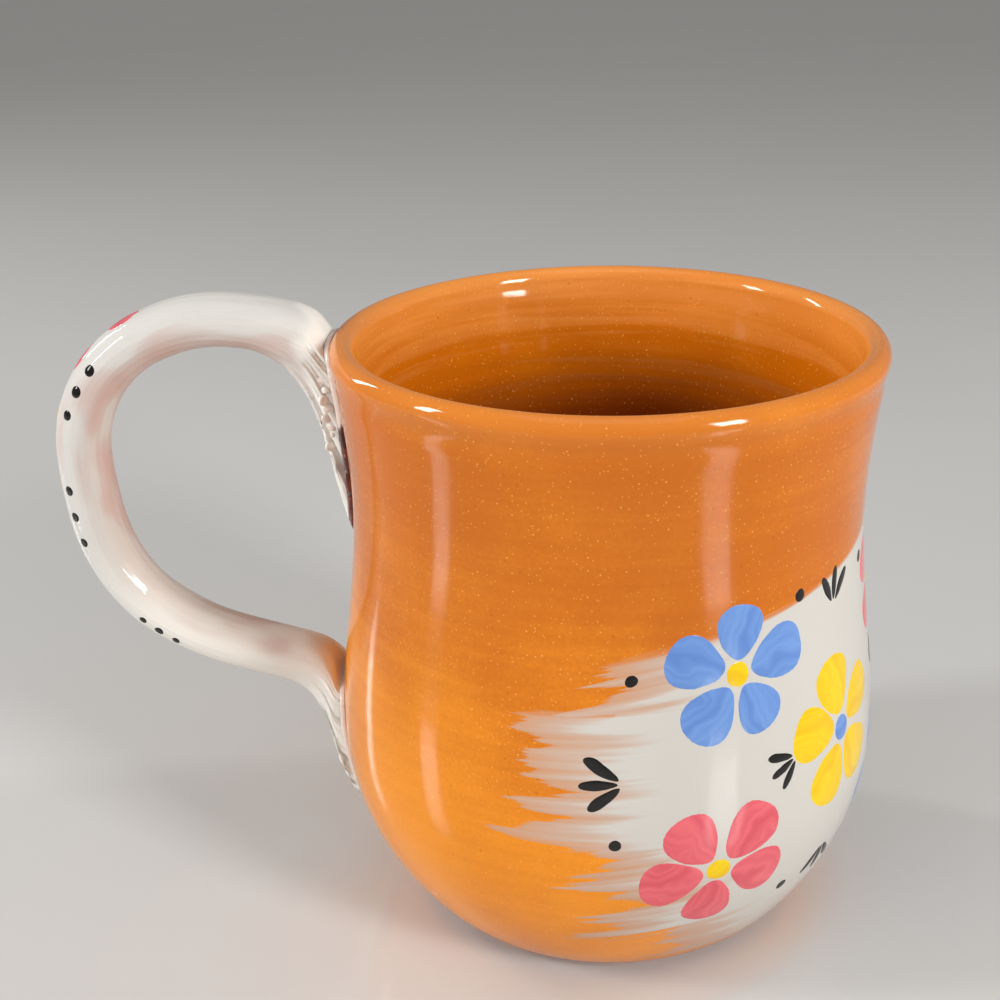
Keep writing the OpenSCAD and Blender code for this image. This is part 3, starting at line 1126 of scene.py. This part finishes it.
    def pad_ring(self, end: PressedEnd, share: float, off: float, grow: float = 0.0,
                 ragged: float = 1.0) -> np.ndarray:
        """Ring on the wall inside the edge of a pressed-on end.

        Args:
            end: The pressed-on end.
            share: Share of the way from the middle of the end to its edge.
            off: Distance off the wall.
            grow: How far the edge is moved out.
            ragged: How much of the torn edge is kept, one being all of it.

        Returns:
            The points of the ring.
        """
        edge = [end.outline(math.tau * i / self.sides, grow, ragged) for i in range(self.sides)]
        return np.array([
            self.on_wall(a * share, end.mid_z + (z - end.mid_z) * share, off) for a, z in edge])

    def cap(self, end: PressedEnd) -> list[np.ndarray]:
        """Rings that close an end against the wall, from its edge to its middle."""
        shares = np.arange(self.cap_steps - 1, 0, -1) / self.cap_steps
        return [self.pad_ring(end, share, self.seat) for share in shares]

    def rings(self) -> tuple[np.ndarray, np.ndarray]:
        """All rings of the handle, from the upper end to the lower one.

        Returns:
            The rings, and for each how near it is to a seam, one being the edge on the wall.
        """
        upper = self.loop(self.upper_loop_shares, self.upper_join_z)
        lower = self.loop(self.lower_loop_shares, self.lower_join_z)
        first = np.linspace(self.upper_end_share, 1, self.strap_steps)
        second = np.linspace(0, self.lower_end_share, self.strap_steps)[1:]
        straps = [self.strap_ring(upper, share) for share in first]
        straps += [self.strap_ring(lower, share) for share in second]
        upper_way = -bezier_way(upper, self.upper_end_share)
        lower_way = bezier_way(lower, self.lower_end_share)
        top = self.flare(straps[0], np.array((-upper_way[0], 0, upper_way[1])), self.upper_end)
        low = self.flare(straps[-1], np.array((-lower_way[0], 0, lower_way[1])), self.lower_end)
        nearness = list(self.flare_shares)
        closing = [1.0] * (self.cap_steps - 1)
        rings = self.cap(self.upper_end)[::-1] + top[::-1] + straps + low + self.cap(self.lower_end)
        seams = closing + nearness[::-1] + [0.0] * len(straps) + nearness + closing
        return np.array(rings), np.array(seams)

    def strap_line(self, start: float, end: float, turn: float) -> SurfaceLine:
        """Line along the strap.

        Args:
            start: Share of the strap's length at which the line starts.
            end: Share of the strap's length at which the line ends.
            turn: Angle round the strap from the outside of the loop, in degrees.

        Returns:
            The line, with the way round the strap across it.
        """
        rings = self.rings()[0]
        count, side = 2 * self.strap_steps - 2, self.side_at(turn)
        rows = self.first_strap + np.arange(round(start * count), round(end * count) + 1)
        across = rings[rows, (side + 1) % self.sides] - rings[rows, side - 1]
        return SurfaceLine(rings[rows, side], across, rings[rows + 1, side] - rings[rows - 1, side])

    def seam_line(self, near: float, start: float, stop: float) -> SurfaceLine:
        """Line along one flank of the upper end.

        Args:
            near: Share of the way from the strap to the wall at which the line runs.
            start: Angle round the end at which the line starts, in degrees.
            stop: Angle round the end at which the line stops, in degrees.

        Returns:
            The line, with the level way along the flank across it.
        """
        rings = self.rings()[0]
        row = self.first_strap - round(near * self.flare_steps)
        sides = [self.side_at(angle) for angle in np.linspace(start, stop, self.seam_steps)]
        points = rings[row, sides]
        inward = rings[row - 2, sides] - rings[row + 2, sides]
        out = np.cross(inward, np.gradient(points, axis=0))
        level = np.cross((0.0, 0.0, 1.0), out)
        return SurfaceLine(points, level, np.cross(out, level))

    def strands(self, rings: np.ndarray) -> np.ndarray:
        """Length along the strap and place round it, for each point of the rings."""
        middles = rings.mean(axis=1)
        steps = np.linalg.norm(np.diff(middles, axis=0), axis=1)
        along = np.concatenate(([0.0], np.cumsum(steps)))
        turns = np.arange(self.sides) * math.tau / self.sides
        shape = rings.shape[:2]
        return np.stack((
            np.repeat(along[:, None], self.sides, axis=1),
            np.broadcast_to(np.cos(turns) * self.strap_t / 2, shape),
            np.broadcast_to(np.sin(turns) * self.strap_w / 2, shape)), axis=-1)

    def dents(self, points: np.ndarray, strand: np.ndarray, seam: np.ndarray) -> np.ndarray:
        """Depth of the marks that pulling and pressing left.

        Args:
            points: Points of the handle.
            strand: Length along the strap and place round it, for each point.
            seam: How near each point is to a seam.

        Returns:
            Depth at each point: lumps and pull lines on the strap, smears at the seams.
        """
        lumps, lines, smears = (
            np.abs([noise.noise(Vector(place)) for place in places / np.array(sizes)])
            for places, sizes in ((points, self.lump_size), (strand, self.pull_line_sizes),
                                  (points, self.smear_sizes)))
        upper = strand[:, 0] < strand[:, 0].max() / 2
        facing = np.where(upper, 1, -1) * strand[:, 1] / self.strap_t
        plain = 1 - seam
        strap = lumps * self.lump * plain ** 0.7 + lines * self.pull_line * plain ** 4
        return strap + smears * self.smear * seam * (1 - seam ** 6) * (0.5 - facing) ** 2

    def build(self) -> bpy.types.Object:
        """Makes the handle, uneven from pulling, and lets it stand for its solid."""
        rings, seams = self.rings()
        strands = self.strands(rings)
        ends = [self.on_wall(0, e.mid_z, self.seat) for e in (self.upper_end, self.lower_end)]
        points = np.concatenate((rings.reshape(-1, 3), ends))
        handle = new_object("pulled_handle", points, faces=tube_faces(len(rings), self.sides))
        mesh = handle.data
        normals = np.empty(len(points) * 3)
        mesh.vertices.foreach_get("normal", normals)
        normals = normals.reshape(-1, 3)
        seam = np.concatenate((np.repeat(seams, self.sides), (1.0, 1.0)))
        strand = np.concatenate((strands.reshape(-1, 3), np.zeros((2, 3))))
        dent = self.dents(points, strand, seam)
        mesh.vertices.foreach_set("co", (points - normals * dent[:, None]).ravel())
        store(handle, "seam", seam)
        store(handle, "strand", strand)
        mesh.shade_smooth()
        mesh.materials.append(SLIP.material())
        mesh.update()
        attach(handle, ROOT)
        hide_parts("handle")
        return handle


@dataclass(frozen=True)
class LutingPad:
    """Thin clay between one end of the handle and the wall, squeezed out in a ragged rim."""

    handle: PulledHandle
    end: PressedEnd
    node: str
    # How far up the end the luting shows dark, as bare clay and painted shade.
    bared_and_shaded: float
    spread: float = 1.2 * MM
    gap: float = 0.02 * MM
    edge: float = 0.25 * MM
    ragged: float = 0.35
    steps: int = 10
    shoulder: float = 0.7
    slip_start: float = 0.13

    def ring(self, share: float, off: float) -> np.ndarray:
        """Ring on the wall at a share of the way from the middle to the rim."""
        return self.handle.pad_ring(self.end, share, off, self.spread, self.ragged)

    def build(self) -> bpy.types.Object:
        """Makes the luting and lets it stand for its solid."""
        fit, top = self.gap, self.handle.seat - self.gap
        full = (self.end.half_w + self.spread / 2) / (self.end.half_w + self.spread)
        shares = [k / self.steps for k in range(1, self.steps + 1)]
        rings = [self.ring(s, fit) for s in shares]
        low = fit + self.edge
        rings.append(self.ring(1.0, low))
        rings.append(self.ring((1 + full) / 2, low + (top - low) * self.shoulder))
        rings += [self.ring(full * s, top) for s in reversed(shares)]
        ends = [self.handle.on_wall(0, self.end.mid_z, off) for off in (fit, top)]
        if self.end.first_side < 0:
            rings, ends = rings[::-1], ends[::-1]
        points = [p for ring in rings for p in ring] + ends
        pad = new_object(self.node + "_pad", points, faces=tube_faces(len(rings), len(rings[0])))
        heights = np.array([p[2] for p in points])
        down = (self.end.mid_z - heights) / self.end.tail_h
        store(pad, "head", np.clip(2 * (1 - self.bared_and_shaded - down) + self.slip_start, 0, 1))
        pad.data.shade_smooth()
        pad.data.materials.append(LUTING.material())
        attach(pad, ROOT)
        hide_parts(self.node)
        return pad


@dataclass(frozen=True)
class DabRow:
    """Dabs of one kind set evenly along lines on the handle, firm ones keeping their own shape."""

    name: str
    finish: Finish
    lines: tuple[SurfaceLine, ...]
    count: int
    length: float
    width: float
    relief: float
    seed: int
    firm: bool = False

    def source(self) -> bpy.types.Object:
        """All the lines as one mesh of edges that carries their ways across and out."""
        points = np.concatenate([line.points for line in self.lines])
        edges, first = [], 0
        for line in self.lines:
            edges += [(first + i, first + i + 1) for i in range(len(line.points) - 1)]
            first += len(line.points)
        piece = new_object(self.name, points, edges=edges)
        store(piece, "across", np.concatenate([line.across for line in self.lines]))
        store(piece, "out", np.concatenate([line.out() for line in self.lines]))
        return piece


@dataclass(frozen=True)
class HandleDabs:
    """Pressed ridges at the upper joint and painted dabs, set on the handle's own surface."""

    handle: bpy.types.Object
    rows: tuple[DabRow, ...]
    sides: int = 24
    swell: Pair = (0.78, 1.15)
    sink: float = 0.08
    firm_sink: float = 0.33

    def tree(self) -> GeometryTree:
        """Tree that sets dabs along lines and lays them on a surface."""
        tree = GeometryTree("dabs_along_lines")
        count, seed = tree.inputs("Int", "count", "seed")
        length, width, relief = tree.inputs("Float", "length", "width", "relief")
        surface = tree.input("surface", "Object")
        material = tree.input("material", "Material")
        firm = tree.input("firm", "Bool")

        ball = tree.signal("GeometryNodeMeshUVSphere", {
            "Segments": self.sides, "Rings": self.sides // 2, "Radius": 0.5})
        x, y, z = tree.split(tree.position())
        brush = tree.vector(x * length, y * width, 0.0)
        marked = tree.kept(ball, "brush", brush, "FLOAT_VECTOR")
        dab = tree.kept(marked, "lift", (z - self.sink) * relief)
        curve = tree.signal("GeometryNodeMeshToCurve", {0: tree.source})
        places = tree.signal(
            "GeometryNodeResampleCurve", {"Curve": curve, "Count": count}, mode="COUNT")
        seats = tree.laid(tree.kept(places, "lift", relief * -self.firm_sink), surface)
        lie = tree.signal("FunctionNodeAxesToRotation", {
            "Primary Axis": tree.attribute("out", "FLOAT_VECTOR"),
            "Secondary Axis": tree.attribute("across", "FLOAT_VECTOR")},
            primary_axis="Z", secondary_axis="X")
        swell = tree.random(self.swell, seed)
        scale = tree.vector(length * swell, width * swell, relief)
        real = tree.real(tree.copies(seats, dab, lie, scale))
        done = tree.signal("GeometryNodeSwitch", {
            "Switch": firm, "False": tree.laid(real, surface), "True": real}, input_type="GEOMETRY")
        tree.ending(done, material)
        return tree

    def build(self) -> list[bpy.types.Object]:
        """Lays every row on the handle."""
        tree = self.tree()
        pieces = []
        for row in self.rows:
            piece = tree.settle(row.source(), {
                **vars(row), "surface": self.handle, "material": row.finish.material()})
            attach(piece, ROOT)
            pieces.append(piece)
        return pieces


def handle_rows(handle: PulledHandle) -> tuple[DabRow, ...]:
    """Ridges pressed along the flanks of the upper joint, black dots and coloured dabs."""
    near, spans = 0.82, ((264, 229), (96, 131))
    flanks = tuple(handle.seam_line(near, start, stop) for start, stop in spans)
    dots = tuple(handle.strap_line(share, share + spread, turn)
                 for share, spread in ((0.31, 0.1), (0.53, 0.06), (0.74, 0.06))
                 for turn in (-66, 66))
    ridge = {"count": 9, "length": 2.6 * MM, "width": 1.9 * MM, "relief": 1.3 * MM, "firm": True}
    dot = {"count": 3, "length": 2.0 * MM, "width": 2.0 * MM, "relief": 0.3 * MM}
    dab = {"count": 2, "length": 5.4 * MM, "width": 6.6 * MM, "relief": 0.3 * MM}
    colours = (("handle_rose", Paint.ROSE, 0.22, 21), ("handle_yellow", Paint.YELLOW, 0.43, 22),
               ("handle_blue", Paint.BLUE, 0.64, 23))
    return (
        DabRow("upper_ridges", PASTE, flanks, seed=4, **ridge),
        DabRow("handle_dots", Paint.BLACK.value, dots, seed=14, **dot),
        *(DabRow(name, paint.value, (handle.strap_line(share, share + 0.1, 0),), seed=seed, **dab)
          for name, paint, share, seed in colours),
    )


# Painted motifs

@dataclass(frozen=True)
class Motif:
    """A group of brush dabs at one place on the wall."""

    turn: float
    height: float
    size: float = 1.0
    spin: float = 0.0


@dataclass(frozen=True)
class DabGroup:
    """Motifs of one kind and one colour: dabs fanned out round each place."""

    name: str
    paint: Paint
    motifs: tuple[Motif, ...]
    dabs: int
    step: float
    start: float
    length: float
    width: float
    taper: float = 0.35


@dataclass(frozen=True)
class PaintedPanel:
    """Flowers, sprigs and dots dabbed on the slip panel with a brush."""

    profile: ThrownProfile
    body: bpy.types.Object
    groups: tuple[DabGroup, ...]
    relief: float = 0.15 * MM
    waver: float = 0.9 * MM
    waver_size: float = 5 * MM
    unroll_r: float = 46 * MM
    sides: int = 28
    jitter: Pair = (-0.09, 0.09)
    swell: Pair = (0.9, 1.08)
    sink: float = 0.15
    wall_steps: int = 220

    def tree(self) -> GeometryTree:
        """Tree that fans dabs round points of the unrolled wall and wraps them on to the wall."""
        tree = GeometryTree("brush_dabs")
        dabs, seed = tree.inputs("Int", "dabs", "seed")
        step, start, length, width, taper, relief = tree.inputs(
            "Float", "step", "start", "length", "width", "taper", "relief")
        waver, waver_size, unroll_r = tree.inputs("Float", "waver", "waver_size", "unroll_r")
        wall, surface = tree.inputs("Object", "wall", "surface")
        material = tree.input("material", "Material")

        here = tree.position()
        index = tree.signal("GeometryNodeInputIndex")
        x, y, z = tree.split(here)
        ball = tree.signal("GeometryNodeMeshUVSphere", {
            "Segments": self.sides, "Rings": self.sides // 2, "Radius": 1.0})
        shaped = tree.placed(ball, tree.vector(
            start + length * (x + 1.0) * 0.5, y * width * 0.5 * (x * taper + 1.0), z * relief))
        dab = tree.kept(shaped, "brush", here, "FLOAT_VECTOR")
        fan = tree.signal("GeometryNodePoints", {"Count": dabs})
        jitter = tree.random(self.jitter, seed)
        swell = tree.random(self.swell, seed + 1.0)
        lean = (index - (dabs - 1.0) * 0.5) * step + jitter
        petals = tree.copies(fan, dab, tree.spun(lean), tree.vector(swell, swell, 1.0))
        spin, size, turn = (tree.attribute(name) for name in ("spin", "size", "turn"))
        flowers = tree.copies(
            tree.source, petals, tree.spun(spin), tree.vector(size, size, 1.0))
        drift = tree.add("ShaderNodeTexNoise", {
            "Vector": here, "Scale": tree.math("DIVIDE", 1.0, waver_size)})
        sway_x, sway_y, _ = tree.split(Signal(tree, drift.outputs["Color"]))
        moved = tree.placed(tree.real(flowers), offset=tree.vector(
            (sway_x - 0.5) * waver, (sway_y - 0.5) * waver, 0.0))

        curve = tree.signal("GeometryNodeMeshToCurve", {0: tree.shape(wall)})
        sample = tree.add("GeometryNodeSampleCurve", {"Curves": curve, "Length": y}, mode="LENGTH")
        radius, _, level = tree.split(Signal(tree, sample.outputs["Position"]))
        angle = turn + (x - turn * unroll_r) / radius
        lifted = tree.kept(moved, "lift", z - relief * self.sink)
        wrapped = tree.placed(lifted, tree.vector(
            radius * tree.math("COSINE", angle), radius * tree.math("SINE", angle), level))
        tree.ending(tree.laid(wrapped, surface), material)
        return tree

    def build(self) -> list[bpy.types.Object]:
        """Paints every group on the wall."""
        tree = self.tree()
        wall_points = self.profile.outside(self.wall_steps)
        wall = polyline("wall_line", [(r, 0.0, z) for r, z in wall_points])
        steps = np.hypot(*np.diff(np.array(wall_points), axis=0).T)
        lengths = np.concatenate(([0.0], np.cumsum(steps)))
        heights = [z for _, z in wall_points]
        pieces = []
        for number, group in enumerate(self.groups):
            turns = np.radians([m.turn for m in group.motifs])
            rises = np.interp([m.height for m in group.motifs], heights, lengths)
            places = [(t * self.unroll_r, r, 0.0) for t, r in zip(turns, rises)]
            piece = new_object(group.name, places)
            store(piece, "turn", turns)
            store(piece, "spin", np.radians([m.spin for m in group.motifs]))
            store(piece, "size", np.array([m.size for m in group.motifs]))
            tree.settle(piece, {
                **vars(self),
                **vars(group),
                "seed": number * 10 + 3,
                "wall": wall,
                "surface": self.body,
                "material": group.paint.value.material(),
            })
            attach(piece, ROOT)
            pieces.append(piece)
        bpy.data.objects.remove(wall)
        return pieces


def motif_groups() -> tuple[DabGroup, ...]:
    """Flowers in three colours with their hearts, black sprigs and loose dots."""
    blue = (Motif(-61, 63 * MM, 1.0, 10), Motif(-3, 28 * MM, 1.05, 40),
            Motif(57, 62 * MM, 0.95, 0))
    yellow = (Motif(-32, 46 * MM, 1.05, 25), Motif(27, 45 * MM, 1.0, 12))
    rose = (Motif(-65, 29 * MM, 1.05, 50), Motif(-2, 64 * MM, 0.95, 0),
            Motif(59, 28 * MM, 1.0, 30))
    sprigs = (
        Motif(-84, 47 * MM, 1.0, 180), Motif(-47, 46 * MM, 0.8, 200), Motif(-33, 68 * MM, 0.9, 80),
        Motif(-34, 24 * MM, 0.9, -95), Motif(-3, 46 * MM, 0.9, 90), Motif(27, 68 * MM, 0.9, 100),
        Motif(28, 23 * MM, 0.9, -80), Motif(76, 46 * MM, 1.0, 0))
    spots = ((-83, 64), (-86, 36), (-46, 19), (-45, 73), (-17, 72), (-18, 18),
             (12, 73), (13, 19), (42, 72), (43, 18), (78, 63), (80, 34))
    dots = tuple(Motif(turn, height * MM) for turn, height in spots)
    petal = {"dabs": 5, "step": math.tau / 5, "start": 2.4 * MM, "length": 10.2 * MM,
             "width": 8.6 * MM}
    heart = {"dabs": 1, "step": 0.0, "start": -2.1 * MM, "length": 4.2 * MM,
             "width": 4.2 * MM, "taper": 0.0}
    leaf = {"dabs": 3, "step": 0.62, "start": 1.2 * MM, "length": 7.2 * MM,
            "width": 2.1 * MM, "taper": 0.3}
    dot = {"dabs": 1, "step": 0.0, "start": -1.0 * MM, "length": 2.0 * MM,
           "width": 2.0 * MM, "taper": 0.0}
    return (
        DabGroup("blue_flowers", Paint.BLUE, blue, **petal),
        DabGroup("yellow_flowers", Paint.YELLOW, yellow, **petal),
        DabGroup("rose_flowers", Paint.ROSE, rose, **petal),
        DabGroup("yellow_hearts", Paint.YELLOW, blue + rose, **heart),
        DabGroup("blue_hearts", Paint.BLUE, yellow, **heart),
        DabGroup("black_sprigs", Paint.BLACK, sprigs, **leaf),
        DabGroup("black_dots", Paint.BLACK, dots, **dot),
    )


# Studio

def direction(azimuth: float, elevation: float) -> Vector:
    """Way from the mug at an azimuth from the front and an elevation, both in degrees."""
    turn, rise = math.radians(azimuth), math.radians(elevation)
    level = math.cos(rise)
    return Vector((math.sin(turn) * level, -math.cos(turn) * level, math.sin(rise)))


@dataclass(frozen=True)
class Softbox:
    """A rectangular soft light that faces the mug."""

    name: str
    azimuth: float
    elevation: float
    distance: float
    width: float
    height: float
    power: float
    mirrored: bool = True

    def build(self, target: Vector) -> None:
        """Hangs the light and aims it, and hides it from mirror images if it isn't mirrored."""
        lamp = bpy.data.lights.new(self.name, "AREA")
        lamp.shape = "RECTANGLE"
        lamp.size, lamp.size_y, lamp.energy = self.width, self.height, self.power
        light = linked(self.name, lamp)
        away = direction(self.azimuth, self.elevation)
        light.location = target + away * self.distance
        light.rotation_euler = away.to_track_quat("Z", "Y").to_euler()
        light.visible_glossy = self.mirrored


@dataclass(frozen=True)
class PhotoCamera:
    """The photograph's own view of the mug."""

    lens: float = 57.6
    sensor: float = 36.0
    distance: float = 293.05 * MM
    elevation: float = 26.074
    azimuth: float = 2.0
    roll: float = -0.7
    target_z: float = 53.5 * MM
    frame_px: float = 1000.0
    aim_px: Pair = (607.08, 611.88)
    clip_start: float = 10 * MM

    def build(self) -> None:
        """Sets the camera up and makes it the scene's own."""
        away = direction(self.azimuth, self.elevation)
        right = direction(self.azimuth + 90, 0)
        up = away.cross(right)
        focal_px = self.lens / self.sensor * self.frame_px
        yaw, pitch = (math.atan2(aim - self.frame_px / 2, focal_px) for aim in self.aim_px)
        swing = Matrix.Rotation(yaw, 3, up)
        back, right = swing @ away, swing @ right
        nod = Matrix.Rotation(pitch, 3, right)
        back, up = nod @ back, nod @ up
        tilt = Matrix.Rotation(math.radians(self.roll), 3, -back)
        right, up = tilt @ right, tilt @ up
        lens = bpy.data.cameras.new("photo_camera")
        lens.lens, lens.sensor_width, lens.clip_start = self.lens, self.sensor, self.clip_start
        camera = linked("photo_camera", lens)
        matrix = Matrix((right, up, back)).transposed().to_4x4()
        matrix.translation = Vector((0, 0, self.target_z)) + self.distance * away
        camera.matrix_world = matrix
        bpy.context.scene.camera = camera


@dataclass(frozen=True)
class Studio:
    """Pale table, soft lights and the camera."""

    floor_size: float = 6.0
    target: Vector = field(default_factory=lambda: Vector((0, 0, 60 * MM)))
    sky: Colour = (1.0, 0.98, 0.95, 1.0)
    sky_strength: float = 0.27
    lights: tuple[Softbox, ...] = (
        Softbox("front_softbox", -50, 15, 1.3, 0.9, 0.5, 5.8, mirrored=False),
        Softbox("far_right_softbox", 105, 20, 1.0, 0.1, 0.6, 2.6, mirrored=False),
        Softbox("right_softbox", 50, 23, 0.9, 0.18, 0.3, 5.6),
        Softbox("left_softbox", -74, 23, 0.9, 0.12, 0.3, 3.4),
        Softbox("back_softbox", -114, 23, 1.0, 0.07, 0.34, 2.3),
        Softbox("top_softbox", 0, 85, 1.1, 0.8, 0.8, 1.4),
    )

    def build(self) -> None:
        """Sets the stage, the lights, the sky and the camera."""
        half = self.floor_size / 2
        corners = [(-half, -half, 0), (half, -half, 0), (half, half, 0), (-half, half, 0)]
        floor = new_object("table_top", corners, faces=[(0, 1, 2, 3)])
        floor.data.materials.append(FLOOR.material())
        world = bpy.data.worlds.new("studio")
        world.use_nodes = True
        background = world.node_tree.nodes["Background"]
        background.inputs["Color"].default_value = self.sky
        background.inputs["Strength"].default_value = self.sky_strength
        scene = bpy.context.scene
        scene.world = world
        scene.view_settings.view_transform = "Standard"
        for light in self.lights:
            light.build(self.target)
        PhotoCamera().build()


def main() -> None:
    """Builds the mug piece by piece and sets it in the studio."""
    logging.basicConfig(level=logging.INFO, format="%(name)s: %(message)s")
    profile = ThrownProfile()
    handle = PulledHandle(profile)
    strap = handle.build()
    body = ThrownBody(profile).build()
    pieces = [body, strap]
    pieces.append(LutingPad(handle, handle.upper_end, "upper_luting", bared_and_shaded=0.72).build())
    pieces.append(LutingPad(handle, handle.lower_end, "lower_luting", bared_and_shaded=0.15).build())
    pieces += HandleDabs(strap, handle_rows(handle)).build()
    pieces += PaintedPanel(profile, body, motif_groups()).build()
    Studio().build()
    for piece in pieces:
        piece.data.calc_loop_triangles()
        LOG.info("%s: %d triangles", piece.name, len(piece.data.loop_triangles))


if __name__ == "__main__":
    main()
